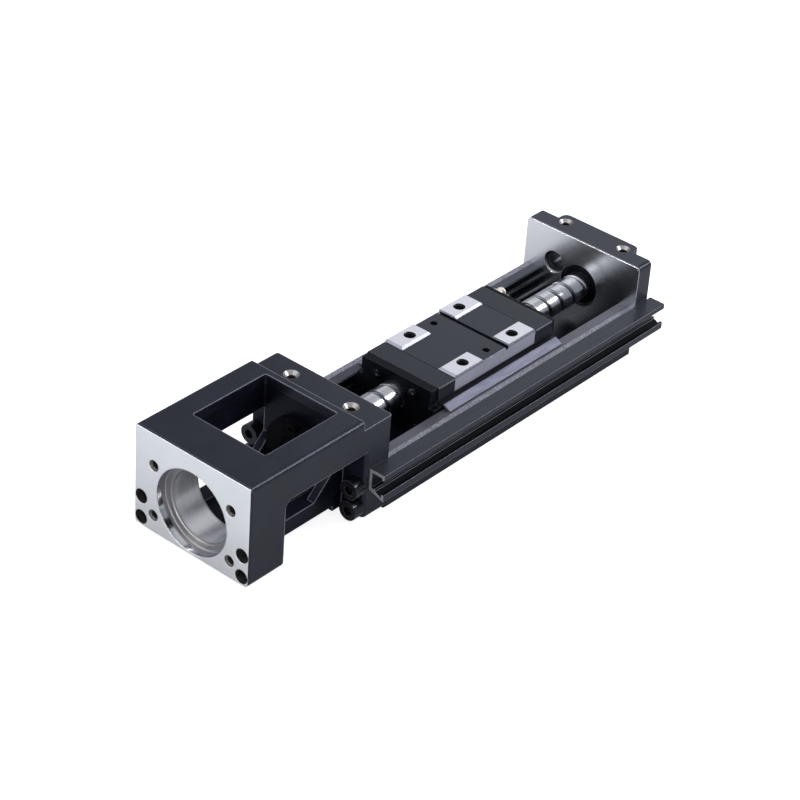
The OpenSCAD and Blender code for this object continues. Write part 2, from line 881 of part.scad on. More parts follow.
module thread() {
  points = concat(
    [for (i = [0:step_n], j = [0:arc_n]) groove_pt(i, j)],
    [for (k = [0:turn_n - 1]) on_screw(screw_d / 2, step_angle(k), thread_y0)],
    [for (k = [0:turn_n - 1]) on_screw(screw_d / 2, step_angle(step_n - k), thread_y1)]
  );
  faces = concat(
    [for (i = [0:step_n - 1], j = [0:arc_n - 1]) [g(i, j), g(i + 1, j + 1), g(i + 1, j)]],
    [for (i = [0:step_n - 1], j = [0:arc_n - 1]) [g(i, j), g(i, j + 1), g(i + 1, j + 1)]],
    [for (i = [0:step_n - turn_n - 1]) [g(i, arc_n), g(i + turn_n + 1, 0), g(i + 1, arc_n)]],
    [for (i = [0:step_n - turn_n - 1]) [g(i, arc_n), g(i + turn_n, 0), g(i + turn_n + 1, 0)]],
    [for (k = [0:turn_n - 2]) [front_pt(k), g(k, 0), g(k + 1, 0), front_pt(k + 1)]],
    fan(g(turn_n - 1, 0),
        concat([g(turn_n, 0)], [for (j = [arc_n:-1:0]) g(0, j)], [front_pt(0), front_pt(turn_n - 1)])),
    [for (k = [0:turn_n - 2])
      [rear_pt(k), g(step_n - k, arc_n), g(step_n - k - 1, arc_n), rear_pt(k + 1)]],
    fan(g(step_n - turn_n + 1, arc_n),
        concat([g(step_n - turn_n, arc_n)], [for (j = [0:arc_n]) g(step_n, j)],
               [rear_pt(0), rear_pt(turn_n - 1)])),
    [[for (k = [0:turn_n - 1]) front_pt(k)]],
    [[for (k = [0:turn_n - 1]) rear_pt(k)]]
  );
  polyhedron(points, faces, convexity = 10);
}

module ball_screw()
  color("#d9dbe0")
    union() {
      thread();
      rod_y(shaft_d / 2, shaft_y0 + end_ch, journal_y0 + 1);
      cone_y(shaft_d / 2 - end_ch, shaft_d / 2, shaft_y0, shaft_y0 + end_ch);
      rod_y(journal_d / 2, journal_y0, thread_y0 + 1);
      difference() {
        rod_y(journal_d / 2, thread_y1 - 1, support_y1 + journal_over);
        ring_y(journal_d / 2 - clip_depth, journal_d, support_y1 - clip_gap, support_y1 + clip_t + clip_gap);
      }
    }

// ---- Carriage ----

// Section of the block (w = its top's half width), the caps and the seals; d insets the outline
module slider_section(w, trough_w, base, d = 0)
  polygon(mirrored([
    [w - d - car_ch, car_top - d],
    [w - d, car_top - d - car_ch],
    [w - d, skirt_z],
    [top_half - neck_in, skirt_z],
    [top_half - neck_in, shoulder_z],
    [trough_w - d, shoulder_z],
    [trough_w - d, base + base_ch],
    [trough_w - d - base_ch, base]
  ]));

module pad(y)
  intersection() {
    along_y(y, y + pad_len)
      polygon([
        [pad_x0 - pad_bevel, car_top - eps],
        [pad_x0, car_top + pad_h],
        [top_half - car_ch, car_top + pad_h],
        [top_half, car_top + pad_h - car_ch],
        [top_half, car_top - car_ch - eps],
        [top_half - car_ch - 1, car_top - car_ch - 1],
        [pad_x0 - pad_bevel, car_top - car_ch - 1]
      ]);
    across_x(0, half_w)
      polygon([
        [y, car_top - car_ch - 2],
        [y, car_top],
        [y + pad_end_bevel, car_top + pad_h],
        [y + pad_len - pad_end_bevel, car_top + pad_h],
        [y + pad_len, car_top],
        [y + pad_len, car_top - car_ch - 2]
      ]);
  }

module carriage_block()
  color("#34363d")
    difference() {
      union() {
        along_y(car_y0, car_y1)
          slider_section(top_half, car_half, car_base);
        both_sides() {
          pad(car_y0);
          pad(car_y1 - pad_len);
        }
      }
      rod_y(screw_d / 2 + bore_gap, car_y0 - 1, car_y1 + 1);
      rod_y(chamber_r, nut_y0 - nut_ball_d, nut_y1 + nut_ball_d);
      for (s = [-1, 1], z = row_z) {
        rod_y(race_r, car_y0 - 1, car_y1 + 1, s * race_x, z);
        rod_y(return_r, car_y0 - 1, car_y1 + 1, s * return_x, z);
      }
      translate([-half_w, slit_y, car_top - slit_t])
        cube([body_w, slit_w, slit_t + pad_h + 1]);
      for (s = [-1, 1], i = [0, 1])
        tapped_down(s * bolt_x / 2, car_y0 + bolt_y0 + i * bolt_y, car_top + pad_h,
                    m5_drill, m5_sink_d, m5_depth);
      for (s = [-1, 1])
        translate([s * pin_x / 2, pin_y, car_top - pin_depth])
          cylinder(d = pin_d, h = pin_depth + 1);
      for (s = [-1, 1]) {
        tapped_end(s * front_upper[0], front_upper[1], car_y0 - 1, car_y0 + cap_grip + 1);
        tapped_end(s * lower[0], -lower[1], car_y0 - 1, car_y0 + cap_grip + 1);
        tapped_end(s * rear_upper[0], rear_upper[1], car_y1 - cap_grip - 1, car_y1 + 1);
        tapped_end(s * lower[0], -lower[1], car_y1 - cap_grip - 1, car_y1 + 1);
      }
    }

module tapped_end(x, z, y0, y1)
  rod_y(M2[0] / 2 + thread_gap, y0, y1, x, z);

// Half ring that turns a row of balls round from its race into its return hole
module turn_round(y, z, way)
  translate([(race_x + return_x) / 2, y, z])
    mirror([0, way < 0 ? 1 : 0, 0])
      rotate_extrude(angle = 180)
        translate([return_in / 2, 0])
          circle(return_r);

// A cap between y0 and y1; its seam with the block lies at seam_y
module end_cap(y0, y1, seam_y, way, screws)
  difference() {
    union() {
      along_y(seam_y == y1 ? y0 : y0 + seam_w, seam_y == y1 ? y1 - seam_w : y1)
        slider_section(top_half + cap_wide, car_half - cap_in, car_base);
      along_y(y0, y1)
        slider_section(top_half + cap_wide, car_half - cap_in, car_base, seam_in);
    }
    rod_y(screw_d / 2 + 2 * bore_gap, y0 - 1, y1 + 1);
    both_sides()
      for (z = row_z)
        turn_round(seam_y, z, way);
    for (s = [-1, 1], p = screws)
      rod_y(M2[0] / 2 + cap_screw_gap, y0 - 1, y1 + 1, s * p[0], p[1]);
  }

module front_end_cap()
  color("#2e3037")
    end_cap(front_cap_y0, car_y0, car_y0, -1, [front_upper, [lower[0], -lower[1]]]);

module rear_end_cap()
  color("#2e3037")
    difference() {
      end_cap(car_y1, rear_cap_y1, car_y1, 1, [rear_upper, [lower[0], -lower[1]]]);
      rod_y(nipple_bolt_r + thread_gap, seal_y1 - nipple_stub - 1, seal_y1, -nipple_x, rail_top + nipple_z);
    }

// Wiper plate: lobes on its sides reach into the rail's races
module end_seal(y0, y1, screws)
  difference() {
    union() {
      along_y(y0, y1)
        slider_section(top_half - 0.3, car_half + neck_gap, car_base, neck_gap);
      for (s = [-1, 1], z = row_z)
        rod_y(lobe_r, y0, y1, s * race_x, z);
    }
    rod_y(screw_d / 2 + seal_gap, y0 - 1, y1 + 1);
    for (s = [-1, 1], p = screws)
      rod_y(M2[0] / 2 + cap_screw_gap, y0 - 1, y1 + 1, s * p[0], p[1]);
  }

module front_seal()
  color("#3c3e45")
    end_seal(seal_y0, front_cap_y0, [front_upper, [lower[0], -lower[1]]]);

module rear_seal()
  color("#3c3e45")
    difference() {
      end_seal(rear_cap_y1, seal_y1, [rear_upper, [lower[0], -lower[1]]]);
      rod_y(nipple_bolt_r + thread_gap, rear_cap_y1 - 1, seal_y1 + 1, -nipple_x, rail_top + nipple_z);
    }

module cap_screws()
  color("#b9bbc0")
    for (s = [-1, 1]) {
      for (p = [front_upper, [lower[0], -lower[1]]])
        translate([s * p[0], seal_y0, p[1]])
          rotate([90, 0, 0])
            cap_screw(M2, seal_t + front_cap_len + cap_grip);
      for (p = [rear_upper, [lower[0], -lower[1]]])
        translate([s * p[0], seal_y1, p[1]])
          rotate([-90, 0, 0])
            cap_screw(M2, rear_seal_t + rear_cap_len + cap_grip);
    }

// A strip on each shoulder of the carriage, with a lip that falls towards the rail's edge
module side_seals()
  color("#6f7180")
    both_sides()
      along_y(front_cap_y0 + strip_in, seal_y1 - strip_in)
        polygon([
          [top_half - neck_in + neck_gap, shoulder_z],
          [trough, shoulder_z],
          [trough + 1.7, rail_top + lip_gap],
          [trough + 3.3, rail_top + lip_gap],
          [trough + 3.3, rail_top + lip_gap + 0.2],
          [trough + 0.3, shoulder_z + 1],
          [trough - 0.3, shoulder_z + 1],
          [trough - 0.3, shoulder_z + strip_t],
          [top_half - neck_in + neck_gap, shoulder_z + strip_t]
        ]);

module grease_nipple()
  color("#d8cdbb")
    translate([-nipple_x, seal_y1, rail_top + nipple_z])
      rotate([-90, 0, 0]) {
        translate([0, 0, -nipple_stub])
          cylinder(r = nipple_bolt_r, h = nipple_stub + eps);
        cylinder(r = nipple_r, h = nipple_len / 3, $fn = 6);
        rotate_extrude()
          polygon([
            [0, 0],
            [nipple_r - 0.6, 0],
            [nipple_r - 0.6, nipple_len / 2],
            [nipple_r - 1.4, nipple_len * 0.6],
            [nipple_r - 1.4, nipple_len * 0.7],
            [nipple_r - 0.7, nipple_len * 0.8],
            [nipple_r - 1, nipple_len],
            [0, nipple_len]
          ]);
      }

module nut_balls()
  color("#e4e6ea")
    for (k = [0:floor(nut_turns * 360 / nut_step)])
      translate(on_screw(pcd_r, k * nut_step, nut_y0 + k * nut_step / 360 * lead))
        sphere(d = nut_ball_d);

module rail_balls()
  color("#e4e6ea")
    for (s = [-1, 1], z = row_z, y = [car_y0 + rail_ball_d:ball_step:car_y1 - rail_ball_d])
      translate([s * race_x, y, z])
        sphere(d = rail_ball_d);

// ---- Output ----

rail();
motor_housing();
housing_screws();
bearing_cover();
bearing_cover_screws();
fixed_bearing_outer_rings();
fixed_bearing_balls();
end_plate();
end_plate_screws();
support_bearing_outer_ring();
support_bearing_seal();
support_bearing_balls();
sensor_rail();
sensor_rail_screws();
ball_screw();
lock_nut();
fixed_bearing_inner_rings();
support_bearing_inner_ring();
retaining_ring();
carriage_block();
front_end_cap();
rear_end_cap();
front_seal();
rear_seal();
cap_screws();
side_seals();
grease_nipple();
nut_balls();
rail_balls();
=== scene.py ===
"""Looks of the ball screw linear module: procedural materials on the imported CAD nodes, a smooth
ball screw, a pale studio floor, soft lamps and the camera. Places are metres in the part's own
frame: +Y runs along the screw from the motor face, +X points at the sensor rail and +Z is up."""

import math

import bmesh
import bpy
from mathutils import Matrix, Vector

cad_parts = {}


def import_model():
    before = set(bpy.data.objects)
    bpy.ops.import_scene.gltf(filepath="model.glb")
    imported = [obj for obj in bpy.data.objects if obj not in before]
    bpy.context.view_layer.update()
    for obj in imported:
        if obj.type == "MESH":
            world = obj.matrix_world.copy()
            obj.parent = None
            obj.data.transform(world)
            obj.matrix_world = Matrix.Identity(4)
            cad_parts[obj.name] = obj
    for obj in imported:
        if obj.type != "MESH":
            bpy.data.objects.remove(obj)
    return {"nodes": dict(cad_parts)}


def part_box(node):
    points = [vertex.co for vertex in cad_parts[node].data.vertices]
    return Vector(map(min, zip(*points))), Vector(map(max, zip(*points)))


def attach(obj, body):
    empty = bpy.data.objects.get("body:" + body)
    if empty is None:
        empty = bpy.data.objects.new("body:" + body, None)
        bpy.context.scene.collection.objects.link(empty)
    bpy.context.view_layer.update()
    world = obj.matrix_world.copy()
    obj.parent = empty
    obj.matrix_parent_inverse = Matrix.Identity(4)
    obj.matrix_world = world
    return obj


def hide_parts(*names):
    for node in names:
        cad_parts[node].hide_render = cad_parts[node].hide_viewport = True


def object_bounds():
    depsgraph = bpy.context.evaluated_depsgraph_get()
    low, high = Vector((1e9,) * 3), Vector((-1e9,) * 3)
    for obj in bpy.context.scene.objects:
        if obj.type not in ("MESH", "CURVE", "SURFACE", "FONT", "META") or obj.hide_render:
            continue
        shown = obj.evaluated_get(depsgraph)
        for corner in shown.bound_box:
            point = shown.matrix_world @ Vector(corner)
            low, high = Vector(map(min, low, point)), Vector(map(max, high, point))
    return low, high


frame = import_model()
cad_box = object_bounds()
NODES = frame["nodes"]
MM = 0.001

HOUSING_LOW, HOUSING_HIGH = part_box("motor_housing")
PLATE_LOW, PLATE_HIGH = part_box("end_plate")
RAIL_LOW, RAIL_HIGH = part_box("rail")
SENSOR_LOW, SENSOR_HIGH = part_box("sensor_rail")
BLOCK_LOW, BLOCK_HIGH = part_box("carriage_block")
SCREW_LOW, SCREW_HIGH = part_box("ball_screw")

FILM = 0.05 * MM       # reach of a mask that takes in one flat face
THIN_FILM = 0.03 * MM  # the same, where the face ends in a fine bevel
BOTH = (-1, 1)         # the two sides of the part
GRAIN = (0.3, 0.7)     # nearly all of a noise lies between these two values
SPECKS = (0.42, 0.62)  # a speckled noise turns from dark to light between these


def rgb(r, g, b):
    return (r, g, b, 1.0)


def shade(base, factor):
    return tuple(min(1, c * factor) for c in base[:3]) + (1,)


BLACK = rgb(0.0065, 0.0070, 0.0125)
COATED = rgb(0.0105, 0.011, 0.0165)  # a slightly lighter black coating
# painted highlight for the rounded edges
EDGE_HIGHLIGHT = rgb(0.30, 0.30, 0.37)
SHEEN = rgb(0.76, 0.83, 1.0)

M4_DRILL = 1.65 * MM  # radius
M4_PITCH = 0.7 * MM
COVER_HOLE_DEPTH = 9 * MM
BORE_BEVEL = 0.6 * MM


# ---------------------------------------------------------------- node helpers

class Tree:
    """A node tree, with short calls for what the materials and the world need."""

    def __init__(self, owner):
        owner.use_nodes = True
        self.tree = owner.node_tree
        self.tree.nodes.clear()

    def node(self, kind, **settings):
        n = self.tree.nodes.new("ShaderNode" + kind)
        for key, value in settings.items():
            setattr(n, key, value)
        return n

    def put(self, value, socket):
        """Links an output to a socket, or sets the socket to a plain value."""
        if isinstance(value, bpy.types.NodeSocket):
            self.tree.links.new(value, socket)
        else:
            socket.default_value = value

    def math(self, operation, a, b=0.0):
        n = self.node("Math", operation=operation)
        self.put(a, n.inputs[0])
        self.put(b, n.inputs[1])
        return n.outputs[0]

    def plus(self, a, b):
        return self.math("ADD", a, b)

    def times(self, a, b):
        return self.math("MULTIPLY", a, b)

    def below(self, value, limit):
        return self.math("LESS_THAN", value, limit)

    def above(self, value, limit):
        return self.math("GREATER_THAN", value, limit)

    def between(self, value, low, high):
        return self.times(self.above(value, low), self.below(value, high))

    def all_of(self, first, *others):
        for mask in others:
            first = self.times(first, mask)
        return first

    def any_of(self, first, *others):
        for mask in others:
            first = self.math("MAXIMUM", first, mask)
        return first

    def ramp(self, value, low, high, to_low=0.0, to_high=1.0):
        """Maps low..high smoothly to to_low..to_high, clamped."""
        n = self.node("MapRange", interpolation_type="SMOOTHSTEP")
        self.put(value, n.inputs["Value"])
        ends = {"From Min": low, "From Max": high, "To Min": to_low, "To Max": to_high}
        for key, end in ends.items():
            n.inputs[key].default_value = end
        return n.outputs["Result"]

    def mix(self, factor, a, b):
        """Mixes two colours."""
        n = self.node("Mix", data_type="RGBA")
        self.put(factor, n.inputs[0])
        self.put(a, n.inputs[6])
        self.put(b, n.inputs[7])
        return n.outputs[2]

    def blend(self, factor, a, b):
        """Mixes two numbers."""
        n = self.node("Mix", data_type="FLOAT")
        self.put(factor, n.inputs[0])
        self.put(a, n.inputs[2])
        self.put(b, n.inputs[3])
        return n.outputs[0]

    def tones(self, value, dark, light, span=GRAIN):
        """A dark colour where a noise or wave is at the span's start, a light one at its end."""
        return self.mix(self.ramp(value, *span), dark, light)

    def vary(self, noise, low, high):
        """A number that follows a noise from low to high."""
        return self.ramp(noise, *GRAIN, low, high)

    def noise(self, where, scale, detail, stretch=(1, 1, 1), rough=0.6):
        """Noise of `scale` grains to the metre. A small stretch draws it out along that axis."""
        mapping = self.node("Mapping")
        self.put(where, mapping.inputs["Vector"])
        mapping.inputs["Scale"].default_value = stretch
        n = self.node("TexNoise")
        self.put(mapping.outputs[0], n.inputs["Vector"])
        n.inputs["Scale"].default_value = scale
        n.inputs["Detail"].default_value = detail
        n.inputs["Roughness"].default_value = rough
        return n.outputs["Fac"]

    def wave(self, along, pitch):
        return self.math("SINE", self.times(along, 2 * math.pi / pitch))

    def distance(self, a, b, at=(0.0, 0.0)):
        """Distance from a point, in the plane of two coordinates."""
        da = self.math("SUBTRACT", a, at[0])
        db = self.math("SUBTRACT", b, at[1])
        return self.math("SQRT", self.plus(self.times(da, da), self.times(db, db)))

    def nearest(self, a, b, spots):
        """Distance from the nearest of some points, in the plane of two coordinates."""
        least = self.distance(a, b, spots[0])
        for spot in spots[1:]:
            least = self.math("MINIMUM", least, self.distance(a, b, spot))
        return least


class Material(Tree):
    """A material with the object coordinates, which are metres in the part's frame. Its `aside`
    is the distance from the middle plane."""

    def __init__(self, name):
        self.made = bpy.data.materials.new(name)
        super().__init__(self.made)
        self.where = self.node("TexCoord").outputs["Object"]
        split = self.node("SeparateXYZ")
        self.put(self.where, split.inputs[0])
        self.x, self.y, self.z = list(split.outputs)
        self.aside = self.math("ABSOLUTE", self.x)

    def rounded(self, radius):
        """A normal that rounds the edges off."""
        bevel = self.node("Bevel", samples=6)
        bevel.inputs["Radius"].default_value = radius
        return bevel.outputs[0]

    def edge_mask(self, normal):
        """1 on the edges, where a rounded normal leaves the true one."""
        dot = self.node("VectorMath", operation="DOT_PRODUCT")
        self.put(normal, dot.inputs[0])
        self.put(self.node("NewGeometry").outputs["Normal"], dot.inputs[1])
        return self.ramp(dot.outputs["Value"], 0.995, 0.90)

    def bump(self, height, distance, strength, normal=None):
        n = self.node("Bump")
        n.inputs["Strength"].default_value = strength
        n.inputs["Distance"].default_value = distance
        self.put(height, n.inputs["Height"])
        if normal is not None:
            self.put(normal, n.inputs["Normal"])
        return n.outputs[0]

    def surface(self, color, metallic, roughness, normal):
        """Puts a Principled shader on the material, and returns it."""
        n = self.node("BsdfPrincipled")
        self.put(color, n.inputs["Base Color"])
        self.put(metallic, n.inputs["Metallic"])
        self.put(roughness, n.inputs["Roughness"])
        self.put(normal, n.inputs["Normal"])
        out = self.node("OutputMaterial")
        self.put(n.outputs[0], out.inputs["Surface"])
        return n


class Skin(Material):
    """A black finish with a painted highlight on its edges, and layers over it, each laid where
    its mask is 1.
    """

    def __init__(self, name, radius, base=BLACK, edge_light=0.6, rough=0.28, specular=0.4):
        super().__init__(name)
        self.normal = self.rounded(radius)
        self.edges = self.edge_mask(self.normal)
        self.metal = 0.0
        self.specular = specular
        self.local_specular = None
        cloud = self.noise(self.where, 70, 4)
        fine = self.noise(self.where, 2600, 2)
        grain = self.plus(self.times(cloud, 0.7), self.times(fine, 0.3))
        color = self.tones(grain, shade(base, 0.75), shade(base, 1.3), (0.35, 0.65))
        # Painted highlight along the edges, as strong as edge_light
        self.color = self.mix(self.times(self.edges, edge_light), color, EDGE_HIGHLIGHT)
        self.rough = self.plus(self.vary(cloud, rough - 0.03, rough + 0.03),
                               self.vary(fine, 0.0, 0.05))
        self.height = fine

    def lay(self, mask, color, metal, rough, height=None):
        self.color = self.mix(mask, self.color, color)
        self.metal = self.blend(mask, self.metal, metal)
        self.rough = self.blend(mask, self.rough, rough)
        if height is not None:
            self.height = self.blend(mask, self.height, height)

    def ground(self, mask, stretch, base, metal, rough, depth=0.04, relief=0.25):
        """Lays ground metal with fine parallel lines, darker by depth in the lines."""
        lines = self.noise(self.where, 3200, 3, stretch)
        broad = self.noise(self.where, 40, 3)
        grain = self.plus(self.times(lines, 0.5), self.times(broad, 0.5))
        color = self.tones(grain, shade(base, 1 - depth), base)
        roughness = self.plus(self.vary(lines, rough - 0.02, rough + 0.03),
                              self.vary(broad, -0.02, 0.02))
        self.lay(mask, color, metal, roughness, self.times(lines, relief))

    def speckle(self):
        """A harsh, fine noise for rough surfaces."""
        return self.noise(self.where, 2100, 4, rough=0.8)

    def thread(self, mask, along, pitch, dark, light, lit=(-0.5, 0.7)):
        """Lays the turns of an internal thread in painted light and shade: its flanks grow light
        over the span `lit`.
        """
        self.lay(mask, self.tones(self.wave(along, pitch), dark, light, lit), 0.8, 0.35)

    def cover_holes(self, spots, sink, top):
        """Lays M4 holes that open upwards: a bright countersink and a brownish thread."""
        r = self.nearest(self.x, self.y, spots)
        hole = self.all_of(self.below(r, sink + 0.1 * MM),
                           self.above(self.z, top - COVER_HOLE_DEPTH - 0.5 * MM))
        inside = self.all_of(hole, self.below(self.z, top - THIN_FILM))
        self.ground(inside, (1, 1, 1), rgb(0.40, 0.385, 0.37), 1.0, 0.3)
        wall = self.all_of(hole, self.below(r, M4_DRILL + 0.12 * MM))
        # Painted light and shade on the thread's turns
        self.thread(wall, self.z, M4_PITCH, rgb(0.035, 0.026, 0.022), rgb(0.30, 0.23, 0.19))

    def dull(self, mask, level):
        """Mirrors less where the mask is 1. Elsewhere the shader's own level stays."""
        outside = self.specular if self.local_specular is None else self.local_specular
        self.local_specular = self.blend(mask, outside, level)

    def done(self):
        normal = self.bump(self.height, 0.012 * MM, 0.4, self.normal)
        n = self.surface(self.color, self.metal, self.rough, normal)
        n.inputs["Specular Tint"].default_value = SHEEN
        n.inputs["Specular IOR Level"].default_value = self.specular
        if self.local_specular is not None:
            self.put(self.local_specular, n.inputs["Specular IOR Level"])
        return self.made


def paint(material, *nodes):
    """Puts a material on every slot of some CAD nodes."""
    for name in nodes:
        o = NODES[name]
        if not o.data.materials:
            o.data.materials.append(material)
        for slot in o.material_slots:
            slot.material = material


# ---------------------------------------------------------------- motor housing

FLANGE = 19 * MM          # thickness of the motor flange
BEAM_HEIGHT = 15.4 * MM
EAR_THICKNESS = 14 * MM
STEP_DOWN = 4 * MM        # from the flange's top to the rear block's
PILOT_DEPTH = 5 * MM
PILOT_RADIUS = 18.25 * MM
MOTOR_CIRCLE = 23 * MM    # radius of the circle of motor screws
MOTOR_ANGLE = math.radians(30)
MOTOR_HOLE_REACH = 2.45 * MM  # a little less than the countersink's radius
KEY_HOLE_RADIUS = 3.1 * MM
KEY_HOLE_IN = 3.7 * MM    # from the housing's side
KEY_HOLE_UP = (4.1 * MM, 13.8 * MM)  # from its lower edge
HOLES_SEEN = 11 * MM      # depth to which holes in the motor face get their look
REAR_HOLE_X = 15.55 * MM
REAR_HOLE_IN = 7.6 * MM   # from the rear block's end
REAR_SINK = 3.2 * MM      # radius of the countersink


def lay_motor_face(k):
    """Bright ground face, with painted shade that darkens it a little towards its lower edge."""
    face = k.below(k.y, FILM)
    k.ground(face, (1, 1, 0.06), rgb(0.73, 0.75, 0.765), 0.72, 0.42, 0.03)
    # Painted shade towards the lower edge
    low = k.ramp(k.z, HOUSING_LOW.z, HOUSING_HIGH.z - 6 * MM, 1.0, 0.0)
    k.color = k.mix(k.times(low, face), k.color, rgb(0.57, 0.58, 0.585))


def dull_housing_inside(k):
    """What lies inside the outer faces, and what lies lower than the beams, mirrors little."""
    rear = HOUSING_HIGH.y
    window = k.all_of(k.below(k.aside, HOUSING_HIGH.x - 1 * MM),
                      k.below(k.z, HOUSING_HIGH.z - STEP_DOWN - 0.6 * MM),
                      k.between(k.y, 0.2 * MM, rear - 0.5 * MM))
    under = k.all_of(k.below(k.z, HOUSING_HIGH.z - BEAM_HEIGHT - 0.1 * MM),
                     k.between(k.y, FLANGE + 0.2 * MM, rear - EAR_THICKNESS - 0.5 * MM))
    k.dull(k.any_of(window, under), 0.12)


def lay_coupling_bore(k):
    """Turned bore, a glossier pilot recess, and the step between them behind a thin painted
    highlight.
    """
    rings = k.noise(k.where, 900, 2, (0.02, 1, 0.02))
    relief = k.times(rings, 0.04)
    bore = k.all_of(k.below(k.distance(k.x, k.z), PILOT_RADIUS + 0.65 * MM),
                    k.between(k.y, FILM, FLANGE + 0.3 * MM))
    color = k.tones(rings, rgb(0.72, 0.72, 0.73), rgb(0.79, 0.79, 0.80))
    k.lay(bore, color, 0.85, k.vary(rings, 0.33, 0.37), relief)
    pilot = k.all_of(bore, k.below(k.y, PILOT_DEPTH + 0.02 * MM))
    color = k.tones(rings, rgb(0.50, 0.50, 0.51), rgb(0.62, 0.62, 0.64))
    k.lay(pilot, color, 1.0, k.vary(rings, 0.11, 0.17), relief)
    # Painted highlight: a thin bright ring on the pilot's wall next to the step
    painted_highlight_ring = k.between(k.y, PILOT_DEPTH - 0.55 * MM, PILOT_DEPTH - 0.15 * MM)
    k.lay(k.all_of(bore, painted_highlight_ring), rgb(0.78, 0.77, 0.74), 0.8, 0.4)
    step = k.between(k.y, PILOT_DEPTH - 0.1 * MM, PILOT_DEPTH + BORE_BEVEL + 0.2 * MM)
    k.lay(k.all_of(bore, step), rgb(0.30, 0.29, 0.28), 1.0, 0.4)


def lay_flange_holes(k):
    """Tapped holes for the motor, and rough holes for the key to the ears' screws."""
    deep = k.between(k.y, THIN_FILM, HOLES_SEEN)
    hole_x = MOTOR_CIRCLE * math.cos(MOTOR_ANGLE)
    hole_z = MOTOR_CIRCLE * math.sin(MOTOR_ANGLE)
    r = k.nearest(k.x, k.z, [(side * hole_x, up * hole_z) for side in BOTH for up in BOTH])
    k.lay(k.all_of(k.below(r, MOTOR_HOLE_REACH), deep), rgb(0.12, 0.115, 0.11), 0.7, 0.45)
    wall = k.all_of(k.below(r, M4_DRILL + 0.1 * MM), deep)
    # Painted light and shade on the thread's turns
    k.thread(wall, k.y, M4_PITCH, rgb(0.02, 0.018, 0.018), rgb(0.30, 0.27, 0.25))
    key_x = HOUSING_HIGH.x - KEY_HOLE_IN
    keys = [(side * key_x, HOUSING_LOW.z + up) for side in BOTH for up in KEY_HOLE_UP]
    inside = k.below(k.nearest(k.x, k.z, keys), KEY_HOLE_RADIUS + 0.2 * MM)
    speck = k.noise(k.where, 500, 4, rough=0.8)
    color = k.tones(speck, rgb(0.012, 0.012, 0.011), rgb(0.06, 0.058, 0.05), (0.35, 0.65))
    k.lay(k.all_of(inside, deep), color, 0.0, 0.6)


def housing_material():
    k = Skin("housing_black", 0.8 * MM, edge_light=0.75)
    lay_motor_face(k)
    dull_housing_inside(k)
    lay_coupling_bore(k)
    lay_flange_holes(k)
    spots = [(side * REAR_HOLE_X, HOUSING_HIGH.y - REAR_HOLE_IN) for side in BOTH]
    k.cover_holes(spots, REAR_SINK, HOUSING_HIGH.z - STEP_DOWN)
    return k.done()


paint(housing_material(), "motor_housing")


# ---------------------------------------------------------------- end plate

PLATE_HOLE_X = 15.4 * MM
PLATE_HOLE_IN = 7.8 * MM            # from the polished face
PLATE_SINK = 3 * MM                 # radius of the countersink
ACCESS_HOLE = (-14 * MM, 5.5 * MM)  # for the grease gun
ACCESS_RADIUS = 4.5 * MM
SEAT_RADIUS = 9.5 * MM              # of the support bearing
RIM_WIDTH = 0.3 * MM


def plate_material():
    """Polished face with a painted highlight on the bevel round it, the bearing seat's edge and
    the access hole.
    """
    k = Skin("end_plate_black", 0.45 * MM)
    front = PLATE_LOW.y
    behind = k.above(k.y, front + FILM)
    face = k.below(k.y, front + FILM)
    k.ground(face, (0.06, 1, 1), rgb(0.95, 0.96, 0.98), 1.0, 0.225, 0.02, 0.0)
    # Painted highlight: a grey band on the bevel round the polished face
    outer = k.any_of(k.above(k.z, PLATE_HIGH.z - RIM_WIDTH),
                     k.above(k.x, PLATE_HIGH.x - RIM_WIDTH))
    rim_highlight = k.all_of(k.below(k.y, front + RIM_WIDTH), behind, outer)
    k.lay(rim_highlight, rgb(0.30, 0.30, 0.32), 0.3, 0.5)
    seat = k.between(k.distance(k.x, k.z), SEAT_RADIUS, SEAT_RADIUS + 0.35 * MM)
    k.lay(k.all_of(seat, face), rgb(0.22, 0.22, 0.24), 0.6, 0.3)
    mouth = k.below(k.distance(k.x, k.z, ACCESS_HOLE), ACCESS_RADIUS + BORE_BEVEL + 0.2 * MM)
    access = k.all_of(mouth, behind, k.below(k.y, front + 3 * MM))
    k.lay(access, rgb(0.20, 0.205, 0.215), 1.0, 0.3)
    spots = [(side * PLATE_HOLE_X, front + PLATE_HOLE_IN) for side in BOTH]
    k.cover_holes(spots, PLATE_SINK, PLATE_HIGH.z)
    return k.done()


paint(plate_material(), "end_plate")


# ---------------------------------------------------------------- rail and sensor rail

RACE_X = 20.7 * MM
RACE_REACH = 1.76 * MM                     # a little more than a race's radius
# The races' two tones are painted light and shade on one ground steel
RACES = ((4 * MM, 0.10), (10 * MM, 0.22))  # depth below the rail's top, and tone
BAND_DEPTH = 0.1 * MM                      # of the ground band's mask
SHEET = 1.3 * MM                           # thickness of the sensor rail
SENSOR_LIP = 1.25 * MM                     # what the dark slot leaves above and below
SENSOR_RIB = 0.5 * MM
SENSOR_RIB_DOWN = 8.2 * MM                 # rib's top below the sensor rail's top
SAWN_END = 0.06 * MM                       # reach of the sensor rail's end faces


